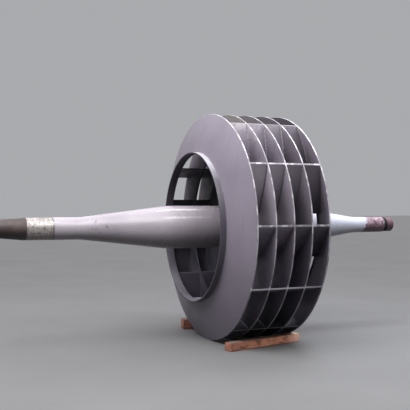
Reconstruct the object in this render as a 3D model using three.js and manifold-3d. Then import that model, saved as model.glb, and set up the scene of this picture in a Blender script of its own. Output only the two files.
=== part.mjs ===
// Double-inlet centrifugal fan rotor: a welded wheel on its turned shaft, chocked by two timbers.
// Millimetres, +Z up, +X along the shaft, origin on the floor under the middle of the shaft.

import * as THREE from "three";
import { mergeVertices } from "three/addons/utils/BufferGeometryUtils.js";
import Module from "manifold-3d";

// Driving dimensions of the wheel
const WHEEL_RADIUS = 1120;
const WHEEL_CENTRE = 314;
const PLATE = 12;
const BAY = 182;
const CLEARANCE = 0.3;
const RING_INNER_RADIUS = 775;
const EYE_RADIUS = 740;
const SHROUD_RISE = 120;
const COLLAR_LENGTH = 62;
const COLLAR_LIP = 13;

// Driving dimensions of the blades
const BLADE_COUNT = 12;
const BLADE_THICKNESS = 12;
const BLADE_INNER_RADIUS = 790;
const FIRST_BLADE_ANGLE = THREE.MathUtils.degToRad(1.8);

// The lean of a blade's chord from the radius at its tip, and how far the plate turns from it at each end
const BLADE_LEAN = THREE.MathUtils.degToRad(36.8);
const BLADE_BEND = THREE.MathUtils.degToRad(8);

// Driving dimensions of the hub
const HUB_SLEEVE_RADIUS = 280;
const HUB_SLEEVE_LENGTH = 220;
const HUB_FLANGE_RADIUS = 370;
const HUB_FLANGE_THICKNESS = 34;

// Driving dimensions of the shaft, as distances along it from the middle of its length
const SHAFT_LENGTH = 4350;
const BODY_RADIUS = 209;
const DRIVE_END = -SHAFT_LENGTH / 2;
const FAR_END = SHAFT_LENGTH / 2;
const CHAMFER = 5;
const SPIGOT_RADIUS = 60;
const SPIGOT_LENGTH = 88;
const TAPER_SMALL_RADIUS = 80;
const TAPER_LENGTH = 247;
const DRIVE_JOURNAL_RADIUS = 103.5;
const DRIVE_JOURNAL_LENGTH = 240;
const DRIVE_NECK_RADIUS = 104.5;
const DRIVE_NECK_LENGTH = 260;
const DRIVE_CONE_LENGTH = 850;
const FAR_CONE_START = 850;
const FAR_CONE_LENGTH = 820;
const FAR_NECK_RADIUS = 84;
const FAR_NECK_LENGTH = 135;
const FAR_JOURNAL_RADIUS = 82;
const FAR_JOURNAL_LENGTH = 250;
const GROOVE_RADIUS = 68;
const GROOVE_LENGTH = 34;
const END_COLLAR_RADIUS = 76;

// Driving dimensions of the timbers that chock the wheel
const NEAR_TIMBER = { length: 868, width: 92, height: 77, turnDegrees: 14.5, overhang: 20 };
const FAR_TIMBER = { length: 795, width: 140, height: 100, turnDegrees: -10, overhang: 30 };

// Fineness of the round pieces
const WHEEL_SIDES = 72;
const SHAFT_SIDES = 48;
const BLADE_SEGMENTS = 5;

const wasm = await Module();
wasm.setup();

const wheelPaint = new THREE.MeshStandardMaterial({ color: 0x9a959c, roughness: 0.45, metalness: 0.1 });
const bladePaint = new THREE.MeshStandardMaterial({ color: 0x69626e, roughness: 0.55, metalness: 0.1 });
const shaftSteel = new THREE.MeshStandardMaterial({ color: 0xa9a4aa, roughness: 0.35, metalness: 0.3 });
const hubPaint = new THREE.MeshStandardMaterial({ color: 0x7c7780, roughness: 0.5, metalness: 0.1 });
const softwood = new THREE.MeshStandardMaterial({ color: 0xb46e50, roughness: 0.85, metalness: 0 });

const rotor = new THREE.Group();
rotor.position.z = WHEEL_RADIUS;
const floorPieces = new THREE.Group();
const model = new THREE.Group();
model.add(rotor, floorPieces);

// Turns a closed outline of [radius, distance along the shaft] points about the shaft's axis.
function turned(outline, sides) {
  const points = outline.map(([radius, along]) => new THREE.Vector2(radius, along));
  const geometry = new THREE.LatheGeometry(points, sides);
  geometry.rotateZ(-Math.PI / 2);
  return geometry;
}

// Closes an outline that goes round a ring's section by repeating its first point.
function ringOutline(corners) {
  return [...corners, corners[0]];
}

function toSolid(geometry) {
  const bare = geometry.clone();
  bare.deleteAttribute("normal");
  bare.deleteAttribute("uv");
  const merged = mergeVertices(bare, 1e-4);
  const solid = new wasm.Manifold(
    new wasm.Mesh({
      numProp: 3,
      vertProperties: new Float32Array(merged.attributes.position.array),
      triVerts: new Uint32Array(merged.index.array),
    }),
  );
  if (solid.volume() > 0) {
    return solid;
  }
  throw new Error("a solid has its faces pointing in");
}

function toGeometry(solid) {
  const mesh = solid.getMesh();
  const geometry = new THREE.BufferGeometry();
  geometry.setAttribute("position", new THREE.BufferAttribute(mesh.vertProperties, 3));
  geometry.setIndex(new THREE.BufferAttribute(mesh.triVerts, 1));
  geometry.computeVertexNormals();
  return geometry;
}

function addPiece(parent, name, geometry, material) {
  const mesh = new THREE.Mesh(geometry, material);
  mesh.name = name;
  parent.add(mesh);
  return mesh;
}

// Half the axial thickness of the sloping shroud plate.
const shroudSlope = Math.atan2(SHROUD_RISE, WHEEL_RADIUS - EYE_RADIUS);
const shroudHalfThickness = PLATE / 2 / Math.cos(shroudSlope);
const rimPlane = 2 * BAY;
const eyePlane = rimPlane + SHROUD_RISE;

// A flat ring or disc of plate standing across the shaft at a distance from the wheel's centre.
function plateRing(innerRadius, outerRadius, along) {
  const near = along - PLATE / 2;
  const far = along + PLATE / 2;
  return ringOutline([[innerRadius, near], [outerRadius, near], [outerRadius, far], [innerRadius, far]]);
}

function wheelGeometry(outline) {
  return turned(outline, WHEEL_SIDES);
}

function wheelPiece(name, geometry, material, side = 1) {
  const piece = addPiece(rotor, name, geometry, material);
  piece.position.x = WHEEL_CENTRE;
  if (side < 0) {
    piece.rotation.z = Math.PI;
  }
  return piece;
}

const shroudOutline = ringOutline([
  [EYE_RADIUS, eyePlane - shroudHalfThickness],
  [WHEEL_RADIUS, rimPlane - shroudHalfThickness],
  [WHEEL_RADIUS, rimPlane + shroudHalfThickness],
  [EYE_RADIUS, eyePlane + shroudHalfThickness],
]);

// The inlet collar passes through the shroud and stands a little into the wheel.
const collarStart = eyePlane - shroudHalfThickness - COLLAR_LIP;
const collarOutline = ringOutline([
  [EYE_RADIUS - PLATE, collarStart],
  [EYE_RADIUS - CLEARANCE, collarStart],
  [EYE_RADIUS - CLEARANCE, eyePlane + COLLAR_LENGTH],
  [EYE_RADIUS - PLATE, eyePlane + COLLAR_LENGTH],
]);

// The distance from the wheel's centre to the middle of the shroud plate at a radius.
function shroudPlane(radius) {
  return rimPlane + (SHROUD_RISE * (WHEEL_RADIUS - radius)) / (WHEEL_RADIUS - EYE_RADIUS);
}

// The space between the centre plate and one shroud, which the blades fill out to the rim.
const bladeSpace = toSolid(
  wheelGeometry(
    ringOutline([
      [BLADE_INNER_RADIUS, PLATE / 2 + CLEARANCE],
      [WHEEL_RADIUS, PLATE / 2 + CLEARANCE],
      [WHEEL_RADIUS, rimPlane - shroudHalfThickness - CLEARANCE],
      [BLADE_INNER_RADIUS, shroudPlane(BLADE_INNER_RADIUS) - shroudHalfThickness - CLEARANCE],
    ]),
  ),
);

// The part of a stiffening ring that its slots for the blades may cut.
const slotEnd = BLADE_INNER_RADIUS - CLEARANCE;
const slotSpace = toSolid(wheelGeometry(plateRing(slotEnd, WHEEL_RADIUS + PLATE, BAY)));

// A blade's chord runs from its tip to its inner edge, and the plate is bent to an arc over it.
const bladeChord =
  WHEEL_RADIUS * Math.cos(BLADE_LEAN) -
  Math.sqrt(BLADE_INNER_RADIUS ** 2 - (WHEEL_RADIUS * Math.sin(BLADE_LEAN)) ** 2);
const bladeBendRadius = bladeChord / 2 / Math.sin(BLADE_BEND);

// One curved blade plate, longer than its chord at both ends, before it is trimmed to the wheel.
function bladePlate(angle, thickness) {
  const centre = [bladeChord / 2, bladeBendRadius * Math.cos(BLADE_BEND)];
  const reach = BLADE_BEND + (3 * BLADE_THICKNESS) / bladeBendRadius;
  const first = -Math.PI / 2 - reach;
  const last = -Math.PI / 2 + reach;
  const section = new THREE.Shape();
  section.absarc(...centre, bladeBendRadius + thickness / 2, first, last, false);
  section.absarc(...centre, bladeBendRadius - thickness / 2, last, first, true);
  const plate = new THREE.ExtrudeGeometry(section, {
    depth: eyePlane,
    curveSegments: BLADE_SEGMENTS,
    bevelEnabled: false,
  });
  plate.rotateY(Math.PI / 2);
  plate.rotateX(Math.PI / 2 - BLADE_LEAN);
  plate.translate(0, -WHEEL_RADIUS, 0);
  plate.rotateX(-angle);
  return toSolid(plate);
}

const bladeAngles = Array.from({ length: BLADE_COUNT }, (_, index) => {
  return FIRST_BLADE_ANGLE + (index * 2 * Math.PI) / BLADE_COUNT;
});

function bladeGeometry(angle) {
  return toGeometry(bladePlate(angle, BLADE_THICKNESS).intersect(bladeSpace));
}

// A stiffening ring is slotted from its rim for the blades, which leaves a band whole inside them.
function ringGeometry() {
  let ring = toSolid(wheelGeometry(plateRing(RING_INNER_RADIUS, WHEEL_RADIUS, BAY)));
  for (const angle of bladeAngles) {
    const slot = bladePlate(angle, BLADE_THICKNESS + 2 * CLEARANCE).intersect(slotSpace);
    ring = ring.subtract(slot);
  }
  return toGeometry(ring);
}

function addWheel() {
  const centrePlate = wheelGeometry(plateRing(HUB_SLEEVE_RADIUS + CLEARANCE, WHEEL_RADIUS, 0));
  wheelPiece("centre_plate", centrePlate, wheelPaint);
  const ends = [
    ["drive_end", -1],
    ["far_end", 1],
  ];
  for (const [end, side] of ends) {
    wheelPiece(`${end}_shroud`, wheelGeometry(shroudOutline), wheelPaint, side);
    wheelPiece(`${end}_inlet_collar`, wheelGeometry(collarOutline), wheelPaint, side);
  }
  const farRing = ringGeometry();
  wheelPiece("drive_end_stiffening_ring", mirrored(farRing), wheelPaint);
  wheelPiece("far_end_stiffening_ring", farRing, wheelPaint);
}

// Blades stand at equal angles, and the two sides of the wheel have them in line.
function addBlades() {
  bladeAngles.forEach((angle, index) => {
    const number = String(index + 1).padStart(2, "0");
    const farEnd = bladeGeometry(angle);
    wheelPiece(`drive_end_blade_${number}`, mirrored(farEnd), bladePaint);
    wheelPiece(`far_end_blade_${number}`, farEnd, bladePaint);
  });
}

// A piece's mirror image across the wheel's centre plate, with its faces turned out again.
function mirrored(geometry) {
  const image = geometry.clone();
  image.scale(-1, 1, 1);
  const corners = image.index.array;
  for (let first = 0; first < corners.length; first += 3) {
    [corners[first + 1], corners[first + 2]] = [corners[first + 2], corners[first + 1]];
  }
  image.computeVertexNormals();
  return image;
}

// The hub's sleeve passes through the centre plate, which is bolted to its flange.
function addHub() {
  const bore = BODY_RADIUS + CLEARANCE;
  const half = HUB_SLEEVE_LENGTH / 2;
  const face = PLATE / 2 + CLEARANCE;
  const outline = ringOutline([
    [bore, -half],
    [HUB_SLEEVE_RADIUS, -half],
    [HUB_SLEEVE_RADIUS, face],
    [HUB_FLANGE_RADIUS, face],
    [HUB_FLANGE_RADIUS, face + HUB_FLANGE_THICKNESS],
    [HUB_SLEEVE_RADIUS, face + HUB_FLANGE_THICKNESS],
    [HUB_SLEEVE_RADIUS, half],
    [bore, half],
  ]);
  wheelPiece("hub", turned(outline, WHEEL_SIDES), hubPaint);
}

function addShaft() {
  const taperStart = DRIVE_END + SPIGOT_LENGTH;
  const driveJournalStart = taperStart + TAPER_LENGTH;
  const driveNeckStart = driveJournalStart + DRIVE_JOURNAL_LENGTH;
  const driveConeStart = driveNeckStart + DRIVE_NECK_LENGTH;
  const farNeckStart = FAR_CONE_START + FAR_CONE_LENGTH;
  const farJournalStart = farNeckStart + FAR_NECK_LENGTH;
  const grooveStart = farJournalStart + FAR_JOURNAL_LENGTH;
  const endCollarStart = grooveStart + GROOVE_LENGTH;
  const outline = [
    [0, DRIVE_END],
    [SPIGOT_RADIUS - CHAMFER, DRIVE_END],
    [SPIGOT_RADIUS, DRIVE_END + CHAMFER],
    [SPIGOT_RADIUS, taperStart],
    [TAPER_SMALL_RADIUS, taperStart],
    [DRIVE_JOURNAL_RADIUS, driveJournalStart],
    [DRIVE_JOURNAL_RADIUS, driveNeckStart],
    [DRIVE_NECK_RADIUS, driveNeckStart],
    [DRIVE_NECK_RADIUS, driveConeStart],
    [BODY_RADIUS, driveConeStart + DRIVE_CONE_LENGTH],
    [BODY_RADIUS, FAR_CONE_START],
    [FAR_NECK_RADIUS, farNeckStart],
    [FAR_NECK_RADIUS, farJournalStart],
    [FAR_JOURNAL_RADIUS, farJournalStart],
    [FAR_JOURNAL_RADIUS, grooveStart],
    [GROOVE_RADIUS, grooveStart],
    [GROOVE_RADIUS, endCollarStart],
    [END_COLLAR_RADIUS, endCollarStart],
    [END_COLLAR_RADIUS, FAR_END - CHAMFER],
    [END_COLLAR_RADIUS - CHAMFER, FAR_END],
    [0, FAR_END],
  ];
  addPiece(rotor, "shaft", turned(outline, SHAFT_SIDES), shaftSteel);
}

// Half the width of the many-sided wheel at a height above the floor.
function wheelHalfWidth(height) {
  const side = (2 * Math.PI) / WHEEL_SIDES;
  const low = Math.floor(Math.acos(1 - height / WHEEL_RADIUS) / side) * side;
  const high = low + side;
  const share = (height / WHEEL_RADIUS - 1 + Math.cos(low)) / (Math.cos(low) - Math.cos(high));
  return WHEEL_RADIUS * THREE.MathUtils.lerp(Math.sin(low), Math.sin(high), share);
}

// A timber lies on the floor with its upper inner edge against the far-end rim of the wheel.
function addTimber(name, side, { length, width, height, turnDegrees, overhang }) {
  const block = new THREE.BoxGeometry(length, width, height);
  block.translate(overhang - length / 2, (side * width) / 2, height / 2);
  const timber = addPiece(floorPieces, name, block, softwood);
  timber.rotation.z = THREE.MathUtils.degToRad(turnDegrees);
  const farRim = WHEEL_CENTRE + rimPlane + shroudHalfThickness;
  timber.position.set(farRim, side * (wheelHalfWidth(height) + CLEARANCE), 0);
}

addShaft();
addHub();
addWheel();
addBlades();
addTimber("near_timber", -1, NEAR_TIMBER);
addTimber("far_timber", 1, FAR_TIMBER);

export default model;
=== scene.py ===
"""A double-inlet centrifugal fan rotor: turned pieces, welded blades, paint, bare steel and timber."""

import math

import bmesh
import bpy
from mathutils import Matrix, Vector, noise


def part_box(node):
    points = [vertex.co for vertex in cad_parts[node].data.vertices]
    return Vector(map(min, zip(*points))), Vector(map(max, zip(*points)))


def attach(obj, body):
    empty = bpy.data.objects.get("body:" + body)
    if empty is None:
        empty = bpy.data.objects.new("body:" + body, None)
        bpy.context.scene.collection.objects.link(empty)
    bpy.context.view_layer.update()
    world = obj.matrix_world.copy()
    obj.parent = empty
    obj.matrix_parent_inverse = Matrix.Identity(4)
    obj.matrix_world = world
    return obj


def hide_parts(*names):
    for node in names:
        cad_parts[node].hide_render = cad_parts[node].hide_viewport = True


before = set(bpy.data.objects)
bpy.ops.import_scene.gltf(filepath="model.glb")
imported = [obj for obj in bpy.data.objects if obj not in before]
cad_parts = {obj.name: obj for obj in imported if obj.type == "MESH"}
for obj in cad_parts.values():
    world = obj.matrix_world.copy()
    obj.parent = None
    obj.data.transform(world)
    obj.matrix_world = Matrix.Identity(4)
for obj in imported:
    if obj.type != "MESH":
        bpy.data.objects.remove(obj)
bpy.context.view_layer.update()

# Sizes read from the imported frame, in metres
low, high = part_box("centre_plate")
WHEEL_RADIUS = (high.z - low.z) / 2
AXIS_HEIGHT = (high.z + low.z) / 2
WHEEL_CENTRE = (high.x + low.x) / 2
PLATE = high.x - low.x

# How finely the round pieces are turned, and how far apart two points may lie and still count as one
WHEEL_STEPS = 288
SHAFT_STEPS = 160
RADIUS_TOLERANCE = 0.0002
MERGE_DISTANCE = 1e-6

# Edges that turn more than these angles stay sharp: on turned pieces and timber, and on welded blades
SHARP_ANGLE = math.radians(32)
CREASE_ANGLE = math.radians(26)

# How far from a corner its easing starts: a fixed way, more on the shaft's slight turns, and at most a
# share of the edge
EDGE_EASE = 0.0015
EYE_EASE = 0.002
SHAFT_EASE = 0.003
GENTLE_TURN = math.radians(18)
GENTLE_EASE = 0.05
LARGEST_SHARE = 0.4
CORNER_POINTS = 4
BEVEL_ROUNDNESS = 0.6

# The blades, as the construction has them
BLADE_COUNT = 12
BLADE_THICKNESS = 0.012
BLADE_LEAN = math.radians(36.8)
BLADE_BEND = math.radians(8)
BLADE_INNER_RADIUS = 0.790
FIRST_BLADE_ANGLE = math.radians(1.8)
BLADE_CLEARANCE = 0.0003
BLADE_STEPS = 24

# The blade in each side, counted from 0, whose rim edge is painted over and dusty
DUSTY_BLADE = 2

# The weld beads along the blades and round the collars
BEAD_SIZE = 0.008
BEAD_INSET = 0.011
BEAD_ROOT = 0.0015
BEAD_STEP = 0.006
BEAD_SIDES = 4
RIPPLE_DEPTH = 0.14
RIPPLE_TURN = 2.1
GRAIN_DEPTH = 0.1
GRAIN_SCALE = 60
COLLAR_BEAD = 0.004
COLLAR_UNEVENNESS = 0.3

# The bolts that hold the centre plate to the hub, and their washers
BOLT_COUNT = 16
BOLT_CIRCLE = 0.325
BOLT_HEAD = 0.023
BOLT_HEIGHT = 0.019
BOLT_SIDES = 6
BOLT_CHAMFER_START = 0.85
BOLT_CHAMFER_SIZE = 0.88
WASHER_RADIUS = 1.25 * BOLT_HEAD
WASHER_HEIGHT = 0.004
WASHER_SIDES = 32

# Each timber's length, width and height, and how far it is turned on the floor
TIMBERS = {
    "near_timber": (Vector((0.868, 0.092, 0.077)), math.radians(14.5)),
    "far_timber": (Vector((0.795, 0.140, 0.100)), math.radians(-10)),
}

# How the timbers' edges are eased, and how far edges and faces are then worn unevenly
TIMBER_EASE = 0.004
TIMBER_CUTS = 120
WORN_EDGE_WIDTH = 0.006
EDGE_WEAR = 0.0035
FACE_WEAR = 0.0008
WEAR_SCALE = 28
WEAR_BIAS = 0.15
WEAR_SHIFT = Vector((3.1, 1.7, 0))

# Heights over the floor between which the wheel's finish changes, from none to full: painted shade
# on the paint, welds, rim, blades and blade feet, painted light on the primer, pale smears, and dust
# with painted light at the bottom
PAINT_SHADE_HEIGHTS = (1.0, 0.25)
PRIMER_LIGHT_HEIGHTS = (1.55, 2.1)
SMEARS_GROW = (1.75, 2.05)
WELD_SHADE_HEIGHTS = (1.9, 1.5)
RIM_SHADE_HEIGHTS = (1.3, 0.5)
BLADE_SHADE_HEIGHTS = (0.95, 0.5)
BLADE_FOOT_SHADE = (0.45, 0.2)
BOTTOM_DUST_AND_LIGHT = (0.41, 0.37)

# Heights between which a band of the blades' finish grows and goes again: painted shade deep in the
# wheel, painted light on the second row, and dust with painted light on a shelf
DEEP_SHADE_BAND = (0.55, 0.72, 1.6, 1.85)
SECOND_ROW_LIGHT = (1.1, 1.2, 1.6, 1.8)
SHELF_DUST_AND_LIGHT = (0.45, 0.5, 0.65, 0.75)

# Radii between which the blades' finish changes: smears by the rim, painted shade deep inside, dust
# with painted light, and painted shade on the inner edge
SMEARED_RIM = (0.935 * WHEEL_RADIUS, 0.995 * WHEEL_RADIUS)
DEEP_INSIDE = (0.9 * WHEEL_RADIUS, 0.76 * WHEEL_RADIUS)
SHELF_REACH = (0.86 * WHEEL_RADIUS, 0.93 * WHEEL_RADIUS)
BOTTOM_REACH = (BLADE_INNER_RADIUS + 0.05, BLADE_INNER_RADIUS + 0.02)
INNER_EDGE = (BLADE_INNER_RADIUS + 0.0045, BLADE_INNER_RADIUS + 0.0015)

# Places across the shaft between which the blades' finish changes: painted shade away from the light,
# and painted light on the lit side
AWAY_FROM_LIGHT = (-0.6, 0.1)
LIT_SIDE = (-0.4, -0.7)

# Places along the shaft between which the finish changes: painted shade over the top bays, on the far
# half and into the wheel, painted light before the far half and on the low rim edge, and pale paint
# beyond the wheel
TOP_BAYS = (WHEEL_CENTRE - 0.3, WHEEL_CENTRE + 0.25)
FAR_HALF = (WHEEL_CENTRE - 0.25, WHEEL_CENTRE + 0.25)
BEFORE_FAR_HALF = (WHEEL_CENTRE + 0.25, WHEEL_CENTRE - 0.3)
EDGE_HIGHLIGHT_FADES = (WHEEL_CENTRE + 0.35, WHEEL_CENTRE)
INTO_WHEEL = (WHEEL_CENTRE - 0.42, WHEEL_CENTRE - 0.15)
BEYOND_WHEEL = (WHEEL_CENTRE + 0.4, WHEEL_CENTRE + 0.7)

# The radii at which the shaft's finish changes: journal, neck, far journal, groove and end collar
SHAFT_MARKS = (0.1035, 0.1045, 0.082, 0.068, 0.076)

# Painted reflections of lamps in strips along the shaft's near side: angle from the top, half width, and
# start before the wheel
SHAFT_REFLECTIONS = ((0.6, 0.085, 0.98), (1.08, 0.07, 0.92))

# The camera, at the photograph's place and angle
CAMERA_PLACE = Vector((-2.952, -6.771, 1.352))
CAMERA_AZIMUTH = math.radians(66.95)
CAMERA_PITCH = math.radians(-0.12)
CAMERA_LENS = 64.6
CAMERA_SENSOR = 36.0

# The studio: how far its floor reaches and lies below, and how bright its ceiling and walls are
FLOOR_REACH = 60.0
FLOOR_DROP = 0.0005
CEILING = (2.3, 2.3, 2.4)
WALL_BEHIND_CAMERA = (0.04, 0.041, 0.044)
WALL_BEHIND_PART = (0.4, 0.405, 0.42)

# Each lamp's place and target, its width and height, its power in watts and its tint
LAMPS = {
    "left_light": ((-2.6, -1.2, 4.7), (-0.1, 0.0, 1.7), (2.4, 2.4), 170, (1.0, 1.0, 1.0)),
    "near_light": ((-0.8, -2.8, 4.8), (0.3, -0.6, 1.8), (4.2, 2.4), 150, (1.0, 1.0, 1.0)),
    "right_light": ((1.7, -0.3, 3.4), (1.7, 0.0, 1.1), (1.2, 0.9), 85, (0.86, 0.9, 1.0)),
}


def add_piece(name, mesh, materials, slot, *nodes, place=None):
    """A piece that rides on the rotor's body and stands for the CAD nodes that are named."""
    piece = bpy.data.objects.new(name, mesh)
    bpy.context.scene.collection.objects.link(piece)
    for material in materials:
        mesh.materials.append(material)
    if place:
        piece.matrix_world = place
    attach(piece, "root")
    if nodes:
        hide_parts(*nodes)


def mesh_from(points, faces):
    mesh = bpy.data.meshes.new("mesh")
    mesh.from_pydata(points, [], faces)
    return mesh


def turn_outwards(mesh, merged=False):
    """Turns the mesh's faces outwards, after merging the points that lie on each other where asked."""
    work = bmesh.new()
    work.from_mesh(mesh)
    if merged:
        bmesh.ops.remove_doubles(work, verts=work.verts, dist=MERGE_DISTANCE)
    bmesh.ops.recalc_face_normals(work, faces=work.faces)
    work.to_mesh(mesh)
    work.free()


def smooth(mesh, angle=SHARP_ANGLE):
    mesh.polygons.foreach_set("use_smooth", [True] * len(mesh.polygons))
    mesh.set_sharp_from_angle(angle=angle)
    return mesh


def radius_of(point):
    return math.hypot(point[1], point[2] - AXIS_HEIGHT)


def on_circle(along, radius, angle):
    """A point at a distance from the shaft's axis, at an angle from the top."""
    return Vector((along, radius * math.sin(angle), AXIS_HEIGHT + radius * math.cos(angle)))


# Turned pieces

def inner_radius(node):
    return min(radius_of(vertex.co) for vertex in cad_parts[node].data.vertices)


def outline_of(node):
    """The section of a turned CAD node as a closed loop of (distance along the shaft, radius)."""
    points = set()
    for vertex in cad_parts[node].data.vertices:
        points.add((round(vertex.co.x, 4), round(radius_of(vertex.co), 4)))
    bore = min(radius for _, radius in points) + RADIUS_TOLERANCE
    inner = sorted(point for point in points if point[1] < bore)
    outer = sorted(point for point in points if point[1] >= bore)
    loop = [inner[0]]
    while outer:
        place = outer[0][0]
        level = [point for point in outer if point[0] == place]
        level.sort(key=lambda point: abs(point[1] - loop[-1][1]))
        loop.extend(level)
        outer = [point for point in outer if point[0] != place]
    loop.append(inner[-1])
    return [Vector(point) for point in loop]


def eased(loop, ease, gentle=0.0):
    """The loop with each corner off the axis replaced by a short arc."""
    result = []
    for index, corner in enumerate(loop):
        before = loop[index - 1] - corner
        after = loop[(index + 1) % len(loop)] - corner
        if corner.y < MERGE_DISTANCE:
            result.append(corner)
            continue
        turn = math.pi - before.angle(after)
        reach = gentle if gentle and turn < GENTLE_TURN else ease
        reach = min(reach, before.length * LARGEST_SHARE, after.length * LARGEST_SHARE)
        start = corner + before.normalized() * reach
        end = corner + after.normalized() * reach
        for step in range(CORNER_POINTS):
            share = step / (CORNER_POINTS - 1)
            result.append(start.lerp(corner, share).lerp(corner.lerp(end, share), share))
    return result


def turned_mesh(loop, steps):
    """The loop turned round the shaft's axis."""
    points = [on_circle(along, radius, 2 * math.pi * step / steps)
              for step in range(steps) for along, radius in loop]
    count = len(loop)
    faces = []
    for step in range(steps):
        here = step * count
        there = ((step + 1) % steps) * count
        for index in range(count):
            following = (index + 1) % count
            faces.append((here + index, here + following, there + following, there + index))
    mesh = mesh_from(points, faces)
    turn_outwards(mesh, merged=True)
    return smooth(mesh)


def mark_rim(mesh):
    """Gives the faces of the turned outer rim the piece's second material."""
    for polygon in mesh.polygons:
        if radius_of(polygon.center) > WHEEL_RADIUS - EDGE_EASE:
            polygon.material_index = 1


# Places on the wheel

def tip_height(blade):
    """The height of a blade's rim edge on the near side, with blades counted upwards from the axis."""
    return AXIS_HEIGHT + WHEEL_RADIUS * math.sin(FIRST_BLADE_ANGLE + 2 * math.pi * blade / BLADE_COUNT)


# The rim edges of the dusty blade near the top and of the first blade below the axis
TOP_EDGE = tip_height(DUSTY_BLADE)
LOW_EDGE = tip_height(-1)

# The inlet's radius, and where the ring and the shroud's faces stand, from the centre plate's middle
SHROUD = outline_of("far_end_shroud")
EYE_RADIUS = min(point.y for point in SHROUD)
RING_NEAR, RING_FAR = (corner.x - WHEEL_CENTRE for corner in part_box("far_end_stiffening_ring"))
RIM_FACE = min(point.x for point in SHROUD if point.y > EYE_RADIUS + PLATE) - WHEEL_CENTRE
EYE_FACE = min(point.x for point in SHROUD if point.y < EYE_RADIUS + PLATE) - WHEEL_CENTRE
EYE_FRONT = max(point.x for point in SHROUD if point.y < EYE_RADIUS + PLATE) - WHEEL_CENTRE
SHROUD_SLOPE = math.atan2(EYE_FACE - RIM_FACE, WHEEL_RADIUS - EYE_RADIUS)


# Shader graphs

class Graph:
    """A small helper that adds and joins shader nodes. A colour is given as red, green and blue."""

    def __init__(self, tree, space):
        self.tree = tree
        self.coords = self.add("ShaderNodeTexCoord").outputs[space]

    def put(self, socket, value):
        """Links the socket to another node's output, or sets its own value."""
        if isinstance(value, bpy.types.NodeSocket):
            self.tree.links.new(value, socket)
        elif socket.type == "RGBA":
            socket.default_value = (*value, 1.0)
        else:
            socket.default_value = value

    def fill(self, node, **inputs):
        """Sets a node's inputs by their names, with _ for a space."""
        for key, value in inputs.items():
            self.put(node.inputs[key.replace("_", " ")], value)
        return node

    def add(self, kind, **inputs):
        return self.fill(self.tree.nodes.new(kind), **inputs)

    def point(self):
        """The coordinates of the point that is shaded: along the shaft, across it and upwards."""
        return self.add("ShaderNodeSeparateXYZ", Vector=self.coords).outputs

    def facing(self, axis):
        """How far the surface faces along an axis, from -1 to 1."""
        normal = self.add("ShaderNodeNewGeometry").outputs["Normal"]
        return self.add("ShaderNodeSeparateXYZ", Vector=normal).outputs[axis]

    def stretch(self, scale, shift=(0.0, 0.0, 0.0)):
        """The coordinates with a scale and a shift for each axis."""
        node = self.add("ShaderNodeMapping", Vector=self.coords, Scale=scale, Location=shift)
        return node.outputs["Vector"]

    def noise(self, scale, detail=4.0, rough=0.55, shift=(0.0, 0.0, 0.0)):
        """Noise of one scale, or drawn out by a scale for each axis."""
        vector = self.coords
        if isinstance(scale, tuple):
            vector = self.stretch(scale, shift)
            scale = 1.0
        node = self.add("ShaderNodeTexNoise", Vector=vector, Scale=scale, Detail=detail,
                        Roughness=rough)
        return node.outputs["Fac"]

    def ramp(self, value, start, end, low=0.0, high=1.0):
        """A smooth change from low to high as the value goes, up or down, from start to end."""
        node = self.add("ShaderNodeMapRange", Value=value, From_Min=start, From_Max=end,
                        To_Min=low, To_Max=high)
        node.interpolation_type = "SMOOTHSTEP"
        return node.outputs["Result"]

    def math(self, operation, first, second=0.0):
        node = self.tree.nodes.new("ShaderNodeMath")
        node.operation = operation
        for socket, value in zip(node.inputs, (first, second)):
            self.put(socket, value)
        return node.outputs[0]

    def product(self, first, *others):
        """All the values multiplied together."""
        for other in others:
            first = self.math("MULTIPLY", first, other)
        return first

    def between(self, value, start, full, fading, end):
        """A mask that grows from start to full and goes from fading to end."""
        return self.product(self.ramp(value, start, full), self.ramp(value, end, fading))

    def around(self, value, middle, end, full):
        """A mask that is whole up to full on both sides of the middle and gone at end."""
        return self.ramp(self.math("ABSOLUTE", self.math("SUBTRACT", value, middle)), end, full)

    def mix(self, share, first, second):
        node = self.tree.nodes.new("ShaderNodeMix")
        node.data_type = "RGBA"
        for index, value in ((0, share), (6, first), (7, second)):
            self.put(node.inputs[index], value)
        return node.outputs[2]

    def over(self, colour, tone, *masks):
        """The colour with a tone over it, as far as the masks and strengths let it."""
        return self.mix(self.product(*masks), colour, tone)

    def radius(self):
        """The distance from the shaft's axis."""
        _, aside, height = self.point()
        above = self.math("SUBTRACT", height, AXIS_HEIGHT)
        square = self.math("ADD", self.product(aside, aside), self.product(above, above))
        return self.math("SQRT", square)

    def bump(self, height, strength, distance, normal=None):
        node = self.add("ShaderNodeBump", Height=height, Strength=strength, Distance=distance)
        if normal:
            self.put(node.inputs["Normal"], normal)
        return node.outputs["Normal"]


class MaterialGraph(Graph):
    """The graph of one material, in its object's own coordinates."""

    def __init__(self, name):
        self.material = bpy.data.materials.new(name)
        self.material.use_nodes = True
        super().__init__(self.material.node_tree, "Object")

    def finish(self, **sockets):
        self.fill(self.tree.nodes["Principled BSDF"], **sockets)
        return self.material


# Paint of the wheel

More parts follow.
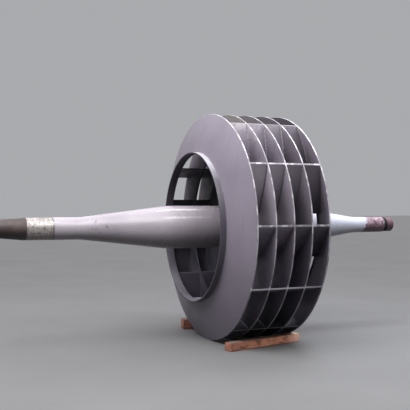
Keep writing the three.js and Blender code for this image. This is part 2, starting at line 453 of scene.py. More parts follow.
def make_wheel_paint():
    """Satin grey paint with soft mottling and faint runs, painted shade inside the collars, low down and
    on the inner faces at the top, and pale dust with a painted highlight where the collars face up.
    """
    graph = MaterialGraph("wheel_paint")
    along, _, height = graph.point()
    radius = graph.radius()
    facing_up = graph.facing("Z")
    cloud = graph.ramp(graph.noise(1.6, 5), 0.35, 0.65)
    colour = graph.mix(cloud, (0.158, 0.137, 0.171), (0.186, 0.163, 0.199))
    runs = graph.ramp(graph.noise((14, 14, 1.4), 6), 0.52, 0.75, 0, 0.25)
    colour = graph.over(colour, (0.12, 0.104, 0.13), runs)
    # Pale dust and a painted highlight on the collars' upward faces
    dust_and_highlight = graph.product(graph.ramp(facing_up, 0.4, 0.85), graph.ramp(graph.noise(9, 6), 0.2, 0.6))
    by_inlet = graph.ramp(radius, EYE_RADIUS + 0.017, EYE_RADIUS + 0.013)
    colour = graph.over(colour, (0.36, 0.345, 0.38), dust_and_highlight, by_inlet, 0.85)
    # Painted shade: the wheel's paint darkens towards the floor
    floor_shade = graph.ramp(height, *PAINT_SHADE_HEIGHTS)
    colour = graph.over(colour, (0.1, 0.085, 0.112), floor_shade, 0.5)
    # Painted shade inside the inlet collars, where they do not face up
    collar = graph.ramp(radius, EYE_RADIUS + 0.008, EYE_RADIUS + 0.003)
    not_level = graph.ramp(facing_up, 0.9, 0.5)
    colour = graph.over(colour, (0.045, 0.039, 0.052), collar, not_level, 0.92)
    # Painted shade on the inward faces at the wheel's top
    outside = graph.product(graph.facing("X"), graph.math("SUBTRACT", along, WHEEL_CENTRE))
    inside = graph.ramp(outside, -0.1, -0.2)
    at_top = graph.ramp(height, TOP_EDGE - 0.017, TOP_EDGE + 0.003)
    colour = graph.over(colour, (0.05, 0.044, 0.05), inside, at_top, 0.9)
    rough = graph.ramp(graph.noise(5, 5), 0.3, 0.7, 0.36, 0.5)
    normal = graph.bump(graph.noise(260, 2), 0.12, 0.0006)
    normal = graph.bump(graph.noise(7, 2), 0.2, 0.004, normal)
    return graph.finish(Base_Color=colour, Roughness=rough, Normal=normal)


# Paint of the blades, their welds and the rim

def primer_tone(graph, point, radius):
    """Thin clouded primer, with painted light towards the wheel's top and dusty smears near the rim."""
    _, _, height = point
    cloud = graph.ramp(graph.noise(3.2, 6, 0.6), 0.32, 0.68)
    colour = graph.mix(cloud, (0.1, 0.083, 0.11), (0.165, 0.139, 0.178))
    # Painted light: the primer pales towards the wheel's top
    top_painted_light = graph.ramp(height, *PRIMER_LIGHT_HEIGHTS)
    colour = graph.over(colour, (0.27, 0.245, 0.28), top_painted_light, 0.3)
    near_rim = graph.ramp(radius, *SMEARED_RIM)
    mostly_high = graph.ramp(height, *SMEARS_GROW, 0.12, 1.0)
    smear = graph.ramp(graph.noise((20, 16, 7), 6, 0.62, (3.0, 1.0, 0.0)), 0.38, 0.58)
    return graph.over(colour, (0.36, 0.335, 0.34), near_rim, mostly_high, smear, 0.6)


def shaded_tone(graph, colour, point, radius, inner_edge):
    """Painted shade where the blades stand far along the wheel, over the top rim edge, deep in the
    wheel, on the inner edge and near the floor.
    """
    along, aside, height = point
    # Painted shade over the top rim edge, deeper towards the far end
    at_top = graph.mix(graph.ramp(along, *TOP_BAYS), (0.15, 0.135, 0.13), (0.055, 0.048, 0.052))
    colour = graph.over(colour, at_top, graph.ramp(height, TOP_EDGE - 0.012, TOP_EDGE + 0.003), 0.95)
    # Painted shade on the blades of the far half
    far_half_shade = graph.ramp(along, *FAR_HALF)
    colour = graph.over(colour, (0.05, 0.041, 0.055), far_half_shade, 0.72)
    # Painted shade deep in the wheel, in a band of heights, most away from the light
    deep = graph.ramp(radius, *DEEP_INSIDE)
    middle = graph.between(height, *DEEP_SHADE_BAND)
    away_from_light = graph.ramp(aside, *AWAY_FROM_LIGHT, 0.35, 0.9)
    colour = graph.over(colour, (0.02, 0.019, 0.027), deep, middle, away_from_light)
    # Painted shade on the blades' inner edge
    colour = graph.over(colour, (0.024, 0.022, 0.031), inner_edge, 0.92)
    # Painted shade: the blades darken towards the floor
    floor_shade = graph.ramp(height, *BLADE_SHADE_HEIGHTS)
    return graph.over(colour, (0.05, 0.05, 0.068), floor_shade, 0.6)


def weathered_tone(graph, colour, point, radius):
    """Dark blotches, painted shade at the feet near the floor, painted light on the second row, and pale
    dust with painted light on level faces in the wheel's lower part.
    """
    along, aside, height = point
    stain = graph.ramp(graph.noise(11, 6, 0.65), 0.55, 0.72, 0, 0.55)
    colour = graph.over(colour, (0.075, 0.062, 0.062), stain)
    # Painted shade at the blades' feet, near the floor
    foot_shade = graph.ramp(height, *BLADE_FOOT_SHADE, 0, 0.75)
    colour = graph.over(colour, (0.014, 0.013, 0.019), foot_shade)
    # Painted light on the second row of bays, on the near side and the drive half
    second_row_light = graph.between(height, *SECOND_ROW_LIGHT)
    near_side = graph.ramp(aside, *LIT_SIDE)
    drive_half = graph.ramp(along, *BEFORE_FAR_HALF, 0.1, 0.5)
    colour = graph.over(colour, (0.36, 0.325, 0.37), second_row_light, near_side, drive_half)
    # Pale dust with painted light on level faces: on a shelf of the blades and low by their inner edge
    shelf = graph.product(graph.between(height, *SHELF_DUST_AND_LIGHT), graph.ramp(radius, *SHELF_REACH))
    bottom = graph.product(graph.ramp(radius, *BOTTOM_REACH), graph.ramp(height, *BOTTOM_DUST_AND_LIGHT))
    level = graph.ramp(graph.facing("Z"), 0.4, 0.6)
    return graph.over(colour, (0.5, 0.475, 0.52), graph.math("MAXIMUM", shelf, bottom), level, 0.9)


def make_blade_paint():
    """Thin primer, with dust and darker blotches, painted light high up, and painted shade in the depth
    of the wheel and near the floor.
    """
    graph = MaterialGraph("blade_paint")
    point = graph.point()
    radius = graph.radius()
    inner_edge = graph.ramp(radius, *INNER_EDGE)
    colour = primer_tone(graph, point, radius)
    colour = shaded_tone(graph, colour, point, radius, inner_edge)
    colour = weathered_tone(graph, colour, point, radius)
    rough = graph.ramp(graph.noise(14, 5), 0.3, 0.7, 0.42, 0.62)
    rough = graph.math("MAXIMUM", rough, graph.product(inner_edge, 0.9))
    normal = graph.bump(graph.noise(180, 3), 0.2, 0.0006)
    normal = graph.bump(graph.noise(12, 3), 0.22, 0.003, normal)
    return graph.finish(Base_Color=colour, Roughness=rough, Normal=normal)


def make_weld_paint():
    """Painted weld metal, a little brighter where it is rubbed, with painted shade lower down."""
    graph = MaterialGraph("weld_paint")
    _, _, height = graph.point()
    cloud = graph.ramp(graph.noise(60, 4), 0.4, 0.66)
    colour = graph.mix(cloud, (0.1, 0.09, 0.11), (0.24, 0.225, 0.24))
    # Painted shade: the welds darken lower down
    colour = graph.over(colour, (0.045, 0.04, 0.052), graph.ramp(height, *WELD_SHADE_HEIGHTS, 0, 0.75))
    normal = graph.bump(graph.noise(350, 3), 0.35, 0.0008)
    return graph.finish(Base_Color=colour, Roughness=graph.ramp(cloud, 0, 1, 0.6, 0.45), Normal=normal)


def make_rim_steel():
    """Turned plate edges: dull paint rubbed bright in patches, with painted shade towards the floor and
    a painted highlight along one low edge.
    """
    graph = MaterialGraph("rim_steel")
    along, _, height = graph.point()
    worn = graph.noise((26, 11, 11), 6, 0.6)
    colour = graph.mix(graph.ramp(worn, 0.44, 0.58), (0.2, 0.18, 0.205), (0.44, 0.42, 0.45))
    # Painted shade: the rim edges darken towards the floor
    floor_shade = graph.ramp(height, *RIM_SHADE_HEIGHTS)
    colour = graph.over(colour, (0.13, 0.118, 0.135), floor_shade, 0.7)
    # Painted highlight along the first rim edge below the axis, fading towards the far end
    edge_highlight = graph.between(height, LOW_EDGE - 0.021, LOW_EDGE - 0.011,
                          LOW_EDGE + 0.019, LOW_EDGE + 0.029)
    drive_half = graph.ramp(along, *EDGE_HIGHLIGHT_FADES, 0.35, 0.9)
    colour = graph.over(colour, (0.6, 0.57, 0.62), edge_highlight, drive_half)
    rough = graph.ramp(worn, 0.4, 0.65, 0.6, 0.45)
    turning = graph.bump(graph.noise((2600, 8, 8), 2), 0.15, 0.0003)
    return graph.finish(Base_Color=colour, Roughness=rough, Metallic=0.1, Normal=turning)


# Finish of the shaft

def shaft_paint(graph, point, drawn, neck_start):
    """Paint with marks along the shaft, grey before the wheel and pale beyond it, painted shade in and
    near the wheel, and painted reflections in two strips.
    """
    along, aside, height = point
    cloud = graph.ramp(graph.noise(2.4, 6), 0.35, 0.68)
    paint = graph.mix(cloud, (0.26, 0.232, 0.262), (0.315, 0.285, 0.315))
    # Painted shade where the shaft runs into the wheel
    in_wheel_shade = graph.ramp(along, *INTO_WHEEL, 0, 0.75)
    paint = graph.over(paint, (0.1, 0.087, 0.104), in_wheel_shade)
    beyond_wheel = graph.ramp(along, *BEYOND_WHEEL)
    paint = graph.over(paint, (0.4, 0.41, 0.47), beyond_wheel)
    # Painted shade on the shaft near the wheel
    near_wheel_shade = graph.around(along, WHEEL_CENTRE, 1.0, 0.55)
    paint = graph.over(paint, (0.17, 0.148, 0.168), near_wheel_shade, 0.5)
    paint = graph.over(paint, (0.19, 0.166, 0.18), graph.ramp(drawn, 0.5, 0.66, 0, 0.2))
    # Two painted reflections of lamps in strips along the shaft's near side, broken into patches
    above = graph.math("SUBTRACT", height, AXIS_HEIGHT)
    turn = graph.math("ARCTAN2", graph.product(aside, -1.0), above)
    patchy = graph.ramp(graph.noise((14, 30, 30), 4, 0.6), 0.38, 0.56)
    patchy = graph.math("MAXIMUM", patchy, 0.35)
    for angle, width, start in SHAFT_REFLECTIONS:
        painted_reflection = graph.around(turn, angle, width, 0.2 * width)
        reach = graph.between(along, WHEEL_CENTRE - start, WHEEL_CENTRE - start + 0.15,
                              WHEEL_CENTRE - 0.62, WHEEL_CENTRE - 0.36)
        paint = graph.over(paint, (0.56, 0.53, 0.56), painted_reflection, reach, patchy, 0.85)
    scuff = graph.ramp(graph.noise((30, 48, 48), 5, 0.6), 0.59, 0.65, 0, 0.75)
    by_neck = graph.around(along, neck_start + 0.42, 0.16, 0.05)
    paint = graph.over(paint, (0.1, 0.085, 0.09), scuff, by_neck)
    worn = graph.ramp(graph.noise((5, 44, 44), 7, 0.65), 0.6, 0.72, 0, 0.35)
    return graph.over(paint, (0.2, 0.178, 0.2), worn)


def streaked_steel(graph, blots):
    """The bare journal, streaked round about and spotted."""
    streaks = graph.noise((150, 4.5, 4.5), 5, 0.65, (5, 2, 1))
    steel = graph.mix(graph.ramp(streaks, 0.38, 0.62), (0.35, 0.33, 0.325), (0.24, 0.21, 0.195))
    return graph.over(steel, (0.11, 0.085, 0.07), graph.ramp(blots, 0.5, 0.62, 0, 0.8))


def rusted_steel(graph, blots, along, facing_up, groove_end):
    """The far journal, rusted, speckled above, with painted shade below, and darker on the end collar.
    """
    rust = graph.mix(graph.ramp(blots, 0.38, 0.6), (0.06, 0.03, 0.043), (0.2, 0.12, 0.145))
    speckle = graph.ramp(graph.noise(85, 5), 0.52, 0.64)
    rust = graph.over(rust, (0.5, 0.42, 0.46), speckle, graph.ramp(facing_up, -0.2, 0.7))
    # Painted shade on the rust's underside
    rust = graph.over(rust, (0.035, 0.017, 0.024), graph.ramp(facing_up, 0.1, -0.6, 0, 0.55))
    end_collar = graph.ramp(along, groove_end - 0.005, groove_end, 0, 0.85)
    return graph.over(rust, (0.07, 0.03, 0.04), end_collar)


def taper_coat(graph):
    """The dark coat that protects the taper."""
    cloud = graph.ramp(graph.noise(8, 6), 0.36, 0.64)
    return graph.mix(cloud, (0.026, 0.014, 0.013), (0.052, 0.033, 0.03))


def make_shaft_finish(marks):
    """Paint on the shaft, a coated taper, a bare streaked journal and a rusted one, with painted shade
    on the underside and in the groove.
    """
    taper_end, neck_start, rust_start, groove_start, groove_end = marks
    graph = MaterialGraph("shaft_finish")
    point = graph.point()
    along = point[0]
    facing_up = graph.facing("Z")
    drawn = graph.noise((0.7, 30, 30), 4)
    blots = graph.noise(30, 6, 0.65)
    ragged = graph.ramp(graph.noise(34, 6, 0.65), 0.0, 1.0, -0.5, 0.5)
    coat_edge = graph.math("ADD", along, graph.product(ragged, 0.012))
    is_coat = graph.ramp(coat_edge, taper_end + 0.004, taper_end - 0.004)
    is_bare = graph.ramp(along, neck_start + 0.002, neck_start - 0.002)
    rust_edge = graph.math("ADD", graph.product(ragged, 0.1), graph.product(facing_up, -0.03))
    is_rust = graph.ramp(graph.math("ADD", along, rust_edge), rust_start - 0.008, rust_start + 0.008)
    in_groove = graph.between(along, groove_start - 0.008, groove_start - 0.003,
                              groove_end + 0.002, groove_end + 0.006)
    paint = shaft_paint(graph, point, drawn, neck_start)
    colour = graph.mix(is_bare, paint, streaked_steel(graph, blots))
    colour = graph.mix(is_coat, colour, taper_coat(graph))
    seam = graph.around(along, neck_start, 0.009, 0.002)
    colour = graph.over(colour, (0.06, 0.05, 0.05), seam, 0.7)
    colour = graph.mix(is_rust, colour, rusted_steel(graph, blots, along, facing_up, groove_end))
    # Painted shade on the shaft's underside
    underside = graph.ramp(facing_up, -0.2, -0.85)
    colour = graph.over(colour, (0.06, 0.052, 0.056), underside, 0.65)
    # Painted shade on the coated taper's underside
    below = graph.ramp(facing_up, 0.1, -0.5, 0, 0.7)
    colour = graph.over(colour, (0.008, 0.005, 0.005), is_coat, below)
    # Painted shade in the groove
    colour = graph.over(colour, (0.006, 0.004, 0.005), in_groove)
    metal = graph.product(is_bare, graph.math("SUBTRACT", 1.0, is_coat), 0.3)
    rough = graph.ramp(graph.noise(6, 5), 0.3, 0.7, 0.24, 0.36)
    rough = graph.math("ADD", rough, graph.product(graph.math("MAXIMUM", is_coat, is_rust), 0.35))
    rough = graph.math("MAXIMUM", rough, graph.product(in_groove, 0.95))
    normal = graph.bump(graph.noise((900, 2, 2), 2), 0.08, 0.0004)
    normal = graph.bump(drawn, 0.35, 0.0016, normal)
    normal = graph.bump(graph.product(blots, is_rust), 0.4, 0.0025, normal)
    return graph.finish(Base_Color=colour, Roughness=rough, Metallic=metal, Normal=normal)


# Finish of the hub, the bolts and the timbers

def make_hub_paint():
    graph = MaterialGraph("hub_paint")
    cloud = graph.ramp(graph.noise(4, 5), 0.35, 0.65)
    colour = graph.mix(cloud, (0.2, 0.185, 0.205), (0.27, 0.25, 0.27))
    normal = graph.bump(graph.noise(220, 3), 0.15, 0.0006)
    return graph.finish(Base_Color=colour, Roughness=graph.ramp(cloud, 0, 1, 0.5, 0.38), Normal=normal)


def make_bolt_steel():
    graph = MaterialGraph("bolt_steel")
    spots = graph.ramp(graph.noise(80, 5), 0.45, 0.65)
    colour = graph.mix(spots, (0.5, 0.49, 0.47), (0.24, 0.19, 0.16))
    return graph.finish(Base_Color=colour, Roughness=graph.ramp(spots, 0, 1, 0.35, 0.6), Metallic=0.8)


def growth_rings(graph):
    """Rings round a core that wanders a little along the timber."""
    wobble = graph.noise((1.5, 8, 8), 3)
    offset = graph.add("ShaderNodeCombineXYZ", Y=graph.product(wobble, 0.05),
                       Z=graph.product(wobble, 0.04))
    warped = graph.add("ShaderNodeVectorMath", Vector=graph.stretch((0.55, 1, 1)))
    warped.operation = "ADD"
    graph.put(warped.inputs[1], offset.outputs[0])
    rings = graph.add("ShaderNodeTexWave", Vector=warped.outputs[0], Scale=42.0, Distortion=2.2,
                      Detail=3.0)
    rings.wave_type = "RINGS"
    rings.rings_direction = "X"
    return graph.ramp(rings.outputs["Fac"], 0.15, 0.85)


def stained_wood(graph, along, half, fibre):
    """Softwood with rings and fibres, painted shade towards the drive end, red patches, knots and
    stains.
    """
    colour = graph.mix(growth_rings(graph), (0.8, 0.37, 0.22), (0.62, 0.25, 0.14))
    colour = graph.over(colour, (0.85, 0.5, 0.35), graph.ramp(fibre, 0.5, 0.7, 0, 0.35))
    # Painted shade towards the timber's drive end
    drive_half = graph.ramp(along, -half, 0.05, 0.75, 0)
    colour = graph.over(colour, (0.16, 0.065, 0.045), drive_half)
    red = graph.ramp(graph.noise((7, 22, 22), 5, 0.6, (4, 1, 2)), 0.48, 0.62)
    colour = graph.over(colour, (0.3, 0.085, 0.06), red, 0.5)
    blotch = graph.noise((11, 34, 34), 6, 0.65)
    drawn_out = graph.stretch((0.7, 1.5, 1.5), (0.3, 0.1, 0.6))
    knots = graph.add("ShaderNodeTexVoronoi", Vector=drawn_out, Scale=9.0)
    knot = graph.product(graph.ramp(knots.outputs["Distance"], 0.36, 0.16),
                         graph.ramp(blotch, 0.42, 0.52))
    stain = graph.math("MAXIMUM", knot, graph.ramp(blotch, 0.54, 0.64))
    return graph.over(colour, (0.075, 0.022, 0.016), stain, 0.75)


def make_timber_wood():
    """Sawn softwood, with painted shade along its lower edge, the wheel's shadow painted on its top, and
    painted light on its far end and on the top there.
    """
    graph = MaterialGraph("timber_wood")
    along, _, height = graph.point()
    size = TIMBERS["near_timber"][0]
    half = size.x / 2
    underside = -size.z / 2
    fibre = graph.noise((9, 260, 260), 6, 0.6)
    colour = stained_wood(graph, along, half, fibre)
    # Painted shade along the timber's lower edge
    lower_edge = graph.ramp(height, underside + 0.0125, underside + 0.0025)
    colour = graph.over(colour, (0.16, 0.045, 0.038), lower_edge, 0.6)
    # Painted light on the timber's far end
    far_end = graph.ramp(along, half - 0.2, half - 0.03)
    colour = graph.over(colour, (0.92, 0.56, 0.44), far_end, 0.7)
    # The wheel's shadow painted on the timber's top
    on_top = graph.ramp(graph.facing("Z"), 0.5, 0.8)
    wheel_shadow = graph.ramp(along, half - 0.09, half - 0.12)
    colour = graph.over(colour, (0.1, 0.07, 0.058), on_top, wheel_shadow, 0.88)
    # Painted light on the top at the far end, beyond the wheel's shadow
    lit_top_end = graph.ramp(along, half - 0.12, half - 0.09)
    colour = graph.over(colour, (0.9, 0.68, 0.5), on_top, lit_top_end, 0.9)
    normal = graph.bump(graph.noise((420, 6, 6), 2), 0.25, 0.0012)
    normal = graph.bump(fibre, 0.5, 0.0015, normal)
    rough = graph.ramp(fibre, 0.3, 0.7, 0.75, 0.92)
    return graph.finish(Base_Color=colour, Roughness=rough, Normal=normal)


WHEEL_PAINT = make_wheel_paint()
BLADE_PAINT = make_blade_paint()
WELD_PAINT = make_weld_paint()
RIM_STEEL = make_rim_steel()
HUB_PAINT = make_hub_paint()
BOLT_STEEL = make_bolt_steel()
TIMBER_WOOD = make_timber_wood()

# A welded blade's materials, and the places of plate, welds and rim among them
BLADE_MATERIALS = (BLADE_PAINT, WELD_PAINT, RIM_STEEL)
PLATE_MARK, WELD_MARK, RIM_MARK = range(3)


# Weld beads

def bead(path, first, second, size=BEAD_SIZE, unevenness=1.0):
    """Points and faces of a rippled quarter-round bead along a corner.

    path is the corner line, and first and second give the directions of its two walls at a point.
    """
    points = []
    faces = []
    for index, place in enumerate(path):
        one = first(place)
        two = second(place)
        ripple = RIPPLE_DEPTH * math.sin(index * RIPPLE_TURN)
        grain = GRAIN_DEPTH * noise.noise(place * GRAIN_SCALE)
        reach = size * (1 + unevenness * (ripple + grain))
        for side in range(BEAD_SIDES + 1):
            angle = math.pi / 2 * side / BEAD_SIDES
            points.append(place + (one * math.cos(angle) + two * math.sin(angle)) * reach)
        points.append(place - (one + two) * BEAD_ROOT)
    row = BEAD_SIDES + 2
    for index in range(len(path) - 1):
        for side in range(row):
            following = (side + 1) % row
            here = index * row
            faces.append((here + side, here + following, here + row + following, here + row + side))
    faces.append(tuple(reversed(range(row))))
    faces.append(tuple(range((len(path) - 1) * row, len(path) * row)))
    return points, faces


class Batch:
    """Gathers points and faces of many shapes into one mesh, with a mark for each face's material."""

    def __init__(self):
        self.points = []
        self.faces = []
        self.marks = []

    def add(self, points, faces, marks=None):
        base = len(self.points)
        self.points.extend(points)
        self.faces.extend(tuple(base + index for index in face) for face in faces)
        self.marks.extend(marks or [0] * len(faces))

    def mesh(self):
        mesh = mesh_from(self.points, self.faces)
        mesh.polygons.foreach_set("material_index", self.marks)
        turn_outwards(mesh)
        return smooth(mesh, CREASE_ANGLE)


# Blades

class BladeFrame:
    """The arc of one blade: a turn is measured about the arc's centre, from tip to inner edge."""

    def __init__(self, angle, side):
        self.side = side
        out = Vector((0, -math.cos(angle), math.sin(angle)))
        round_wheel = Vector((0, math.sin(angle), math.cos(angle)))
        self.chord = -out * math.cos(BLADE_LEAN) - round_wheel * math.sin(BLADE_LEAN)
        self.lift = round_wheel * math.cos(BLADE_LEAN) - out * math.sin(BLADE_LEAN)
        across = WHEEL_RADIUS * math.sin(BLADE_LEAN)
        length = WHEEL_RADIUS * math.cos(BLADE_LEAN) - math.sqrt(BLADE_INNER_RADIUS ** 2 - across ** 2)
        self.radius = length / 2 / math.sin(BLADE_BEND)
        chord_middle = out * WHEEL_RADIUS + self.chord * length / 2
        self.centre = chord_middle + self.lift * self.radius * math.cos(BLADE_BEND)

    def place(self, along, turn, rise=0.0):
        """A point on the blade, where rise leads from its middle to its hollow face."""
        arm = self.chord * math.sin(turn) - self.lift * math.cos(turn)
        point = self.centre + arm * (self.radius - rise)
        return Vector((WHEEL_CENTRE + self.side * along, point.y, AXIS_HEIGHT + point.z))

    def hollow_side(self, place):
        arm = Vector((0, place.y, place.z - AXIS_HEIGHT)) - self.centre
        return -arm.normalized()

    def turn_at(self, radius, rise=0.0):
        """The turn at which the blade's face reaches a radius of the wheel."""
        arm = self.radius - rise
        chord = 2 * arm * self.centre.dot(self.chord)
        lift = 2 * arm * self.centre.dot(self.lift)
        rest = radius ** 2 - self.centre.length_squared - arm ** 2
        middle = math.atan2(lift, chord)
        swing = math.asin(rest / math.hypot(chord, lift))
        return min(middle + swing, middle + math.pi - swing, middle - math.pi - swing, key=abs)

    def turns(self, rise):
        """Even turns from the rim to the inner edge on one face."""
        outer = self.turn_at(WHEEL_RADIUS, rise)
        inner = self.turn_at(BLADE_INNER_RADIUS, rise)
        return [outer + (inner - outer) * step / BLADE_STEPS for step in range(BLADE_STEPS + 1)]


def shroud_face(radius):
    """How far from the centre plate's middle the shroud's inner face stands at a radius."""
    share = (WHEEL_RADIUS - max(radius, EYE_RADIUS)) / (WHEEL_RADIUS - EYE_RADIUS)
    return RIM_FACE + (EYE_FACE - RIM_FACE) * share


def shroud_side(blade, turn, rise):
    return shroud_face(radius_of(blade.place(0, turn, rise)))


def blade_plate(blade, rim_mark):
    """The blade's plate with eased edges, as points, faces and marks, with a mark for its rim."""
    half = BLADE_THICKNESS / 2
    near = PLATE / 2 + BLADE_CLEARANCE
    points = []
    for bulged, hollow in zip(blade.turns(-half), blade.turns(half)):
        points.append(blade.place(near, bulged, -half))
        points.append(blade.place(shroud_side(blade, bulged, -half) - BLADE_CLEARANCE, bulged, -half))
        points.append(blade.place(shroud_side(blade, hollow, half) - BLADE_CLEARANCE, hollow, half))
        points.append(blade.place(near, hollow, half))
    faces = [(0, 1, 2, 3), tuple(4 * BLADE_STEPS + corner for corner in (3, 2, 1, 0))]
    for step in range(BLADE_STEPS):
        for corner in range(4):
            here = 4 * step + corner
            following = 4 * step + (corner + 1) % 4
            faces.append((here, here + 4, following + 4, following))
    mesh = mesh_from(points, faces)
    work = bmesh.new()
    work.from_mesh(mesh)
    bmesh.ops.recalc_face_normals(work, faces=work.faces)
    edges = [edge for edge in work.edges if edge.calc_face_angle(0) > SHARP_ANGLE]
    bmesh.ops.bevel(work, geom=edges, offset=EDGE_EASE, segments=2, affect="EDGES",
                    profile=BEVEL_ROUNDNESS)
    points = [vertex.co.copy() for vertex in work.verts]
    faces = [tuple(vertex.index for vertex in face.verts) for face in work.faces]
    rim = WHEEL_RADIUS - 2 * EDGE_EASE
    marks = [rim_mark if radius_of(face.calc_center_median()) > rim else PLATE_MARK
             for face in work.faces]
    work.free()
    bpy.data.meshes.remove(mesh)
    return points, faces, marks


def blade_welds(blade, batch):
    """Beads where the blade meets the centre plate, the stiffening ring and the shroud."""
    for face in (-1, 1):
        rise = BLADE_THICKNESS / 2 * face
        outer = blade.turn_at(WHEEL_RADIUS, rise) + BEAD_INSET / blade.radius
        inner = blade.turn_at(BLADE_INNER_RADIUS, rise)
        count = round((inner - outer) * blade.radius / BEAD_STEP)
        turns = [outer + (inner - outer) * step / count for step in range(count + 1)]
        walls = [([along] * len(turns), direction)
                 for along, direction in ((PLATE / 2, 1), (RING_NEAR, -1), (RING_FAR, 1))]
        walls.append(([shroud_side(blade, turn, rise) for turn in turns], -1))
        for places, direction in walls:
            path = [blade.place(along, turn, rise) for along, turn in zip(places, turns)]
            up = Vector((blade.side * direction, 0, 0))
            points, faces = bead(path, lambda _: up, lambda place: blade.hollow_side(place) * face)
            batch.add(points, faces, [WELD_MARK] * len(faces))


def add_blades():
    for end, side in (("drive_end", -1), ("far_end", 1)):
        for index in range(BLADE_COUNT):
            blade = BladeFrame(FIRST_BLADE_ANGLE + 2 * math.pi * index / BLADE_COUNT, side)
            batch = Batch()
            batch.add(*blade_plate(blade, PLATE_MARK if index == DUSTY_BLADE else RIM_MARK))
            blade_welds(blade, batch)
            number = f"{index + 1:02d}"
            add_piece(f"{end}_welded_blade_{number}", batch.mesh(), BLADE_MATERIALS, "blade_paint",
                      f"{end}_blade_{number}")


# Rings, shrouds, collars and hub

def add_turned(name, node, materials, slot, ease=EDGE_EASE, outline=None):
    """A turned piece in place of a node, with the second of two materials on the wheel's rim."""
    mesh = turned_mesh(eased(outline or outline_of(node), ease), WHEEL_STEPS)
    if len(materials) > 1:
        mark_rim(mesh)
    add_piece(name, mesh, materials, slot, node)


def add_stiffening_ring(end):
    """The ring is turned whole, because the welded blades hide its slots."""
    node = f"{end}_stiffening_ring"
    low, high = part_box(node)
    inner = inner_radius(node)
    corners = ((low.x, inner), (high.x, inner), (high.x, WHEEL_RADIUS), (low.x, WHEEL_RADIUS))
    outline = [Vector(corner) for corner in corners]
    add_turned(f"{end}_ring", node, (BLADE_PAINT, RIM_STEEL), "wheel_paint", outline=outline)


def add_wheel():
    add_turned("round_centre_plate", "centre_plate", (BLADE_PAINT, RIM_STEEL), "wheel_paint")
    add_turned("round_hub", "hub", (HUB_PAINT,), "hub_paint", SHAFT_EASE)
    for end in ("drive_end", "far_end"):
        add_turned(f"{end}_cone", f"{end}_shroud", (WHEEL_PAINT, RIM_STEEL), "wheel_paint")
        add_turned(f"{end}_eye_ring", f"{end}_inlet_collar", (WHEEL_PAINT,), "wheel_paint", EYE_EASE)
        add_stiffening_ring(end)


def add_collar_welds():
    """A bead round the foot of each inlet collar, outside on the shroud."""
    count = round(2 * math.pi * EYE_RADIUS / (2 * BEAD_STEP))
    for end, side in (("drive_end", -1), ("far_end", 1)):
        away = Vector((side, 0, 0))

        def down_cone(place):
            outwards = Vector((0, place.y, place.z - AXIS_HEIGHT)).normalized()
            return outwards * math.cos(SHROUD_SLOPE) - away * math.sin(SHROUD_SLOPE)

        path = [on_circle(WHEEL_CENTRE + side * EYE_FRONT, EYE_RADIUS, 2 * math.pi * index / count)
                for index in range(count + 1)]
        batch = Batch()
        batch.add(*bead(path, lambda _: away, down_cone, COLLAR_BEAD, COLLAR_UNEVENNESS))
        add_piece(f"{end}_collar_weld", batch.mesh(), (WHEEL_PAINT,), "wheel_paint")


# Hub bolts

def prism(centre, direction, sides, levels):
    """Points and faces of a prism along the shaft, through levels of (height, radius)."""
    points = []
    for height, radius in levels:
        for corner in range(sides):
            angle = 2 * math.pi * corner / sides
            offset = Vector((direction * height, radius * math.cos(angle), radius * math.sin(angle)))
            points.append(centre + offset)
    faces = [tuple(range(sides)), tuple(range(len(points) - sides, len(points)))]
    for level in range(0, len(points) - sides, sides):
        for corner in range(sides):
            following = (corner + 1) % sides
            above = level + sides
            faces.append((level + corner, level + following, above + following, above + corner))
    return points, faces


def add_hub_bolts():
    """Bolt heads on the hub's flange and nuts on the centre plate's other face, all on washers."""
    flange = max(point.x for point in outline_of("hub") if point.y > BOLT_CIRCLE)
    washer = ((0.0, WASHER_RADIUS), (WASHER_HEIGHT, WASHER_RADIUS))
    head = ((0.0, BOLT_HEAD), (BOLT_HEIGHT * BOLT_CHAMFER_START, BOLT_HEAD),
            (BOLT_HEIGHT, BOLT_HEAD * BOLT_CHAMFER_SIZE))
    batch = Batch()
    for index in range(BOLT_COUNT):
        angle = 2 * math.pi * (index + 0.5) / BOLT_COUNT
        for face, direction in ((flange, 1), (WHEEL_CENTRE - PLATE / 2, -1)):
            batch.add(*prism(on_circle(face, BOLT_CIRCLE, angle), direction, WASHER_SIDES, washer))
            top = on_circle(face + direction * WASHER_HEIGHT, BOLT_CIRCLE, angle)
            batch.add(*prism(top, direction, BOLT_SIDES, head))
    add_piece("hub_bolts", batch.mesh(), (BOLT_STEEL,), "hub_paint")


# Shaft

def first_place(outline, radius):
    """Where the outline first reaches a radius, from the drive end."""
    return min(point.x for point in outline if abs(point.y - radius) < RADIUS_TOLERANCE)


def add_shaft():
    outline = outline_of("shaft")
    finish = make_shaft_finish([first_place(outline, radius) for radius in SHAFT_MARKS])
    mesh = turned_mesh(eased(outline, SHAFT_EASE, GENTLE_EASE), SHAFT_STEPS)
    add_piece("turned_shaft", mesh, (finish,), "shaft_paint", "shaft")


# Timbers

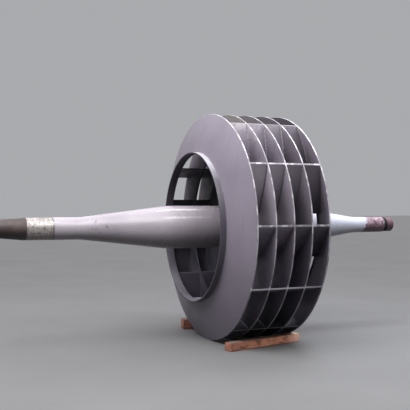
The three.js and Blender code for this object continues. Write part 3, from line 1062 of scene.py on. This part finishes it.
def timber_mesh(size, seed):
    """A sawn beam with worn edges, a little inside its square section."""
    work = bmesh.new()
    bmesh.ops.create_cube(work, size=1.0)
    bmesh.ops.scale(work, vec=size, verts=work.verts)
    bmesh.ops.bevel(work, geom=list(work.edges), offset=TIMBER_EASE, segments=3, affect="EDGES",
                    profile=BEVEL_ROUNDNESS)
    long_edges = [edge for edge in work.edges
                  if abs(edge.verts[0].co.x - edge.verts[1].co.x) > size.x / 2]
    bmesh.ops.subdivide_edges(work, edges=long_edges, cuts=TIMBER_CUTS, use_grid_fill=True)
    for vertex in work.verts:
        on_side = abs(vertex.co.y) > size.y / 2 - WORN_EDGE_WIDTH
        on_face = abs(vertex.co.z) > size.z / 2 - WORN_EDGE_WIDTH
        wear = EDGE_WEAR if on_side and on_face else FACE_WEAR
        pull = wear * max(0.0, noise.noise(vertex.co * WEAR_SCALE + seed * WEAR_SHIFT) + WEAR_BIAS)
        vertex.co.y -= math.copysign(pull, vertex.co.y)
        vertex.co.z -= math.copysign(pull, vertex.co.z)
    mesh = bpy.data.meshes.new("mesh")
    work.to_mesh(mesh)
    work.free()
    return smooth(mesh)


def add_timbers():
    for seed, (node, (size, turn)) in enumerate(TIMBERS.items(), start=1):
        low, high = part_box(node)
        place = Matrix.Translation((low + high) / 2) @ Matrix.Rotation(turn, 4, "Z")
        mesh = timber_mesh(size, seed)
        add_piece(f"sawn_{node}", mesh, (TIMBER_WOOD,), "timber", node, place=place)


# Studio

def add_floor():
    corners = ((-1, -1), (1, -1), (1, 1), (-1, 1))
    mesh = mesh_from([(x * FLOOR_REACH, y * FLOOR_REACH, 0) for x, y in corners], [(0, 1, 2, 3)])
    floor = bpy.data.objects.new("floor", mesh)
    bpy.context.scene.collection.objects.link(floor)
    graph = MaterialGraph("floor")
    shade = graph.ramp(graph.noise(0.8, 4), 0.3, 0.7)
    colour = graph.mix(shade, (0.115, 0.115, 0.115), (0.127, 0.127, 0.127))
    mesh.materials.append(graph.finish(Base_Color=colour, Roughness=0.8))
    floor.location.z = -FLOOR_DROP


def add_lamp(name, place, target, size, power, tint):
    data = bpy.data.lights.new(name, "AREA")
    data.shape = "RECTANGLE"
    data.size, data.size_y = size
    data.energy = power
    data.color = tint
    lamp = bpy.data.objects.new(name, data)
    bpy.context.scene.collection.objects.link(lamp)
    lamp.location = place
    lamp.rotation_euler = (Vector(target) - Vector(place)).to_track_quat("-Z", "Y").to_euler()


def add_world():
    """A soft bright ceiling over walls that are pale behind the part and darker behind the camera."""
    world = bpy.data.worlds.new("studio")
    world.use_nodes = True
    graph = Graph(world.node_tree, "Generated")
    x, y, z = graph.point()
    away = graph.math("ADD", graph.product(x, math.cos(CAMERA_AZIMUTH)),
                      graph.product(y, math.sin(CAMERA_AZIMUTH)))
    walls = graph.mix(graph.ramp(away, 0.1, 0.9), WALL_BEHIND_CAMERA, WALL_BEHIND_PART)
    light = graph.mix(graph.ramp(z, 0.3, 0.8), walls, CEILING)
    graph.fill(world.node_tree.nodes["Background"], Color=light, Strength=1.0)
    bpy.context.scene.world = world


def add_studio():
    bpy.context.scene.view_settings.view_transform = "Standard"
    add_floor()
    add_world()
    for name, settings in LAMPS.items():
        add_lamp(name, *settings)


def add_camera():
    data = bpy.data.cameras.new("camera")
    data.lens = CAMERA_LENS
    data.sensor_width = CAMERA_SENSOR
    camera = bpy.data.objects.new("camera", data)
    bpy.context.scene.collection.objects.link(camera)
    camera.location = CAMERA_PLACE
    camera.rotation_euler = (math.pi / 2 + CAMERA_PITCH, 0, CAMERA_AZIMUTH - math.pi / 2)
    bpy.context.scene.camera = camera


add_camera()
add_shaft()
add_wheel()
add_blades()
add_collar_welds()
add_hub_bolts()
add_timbers()
add_studio()
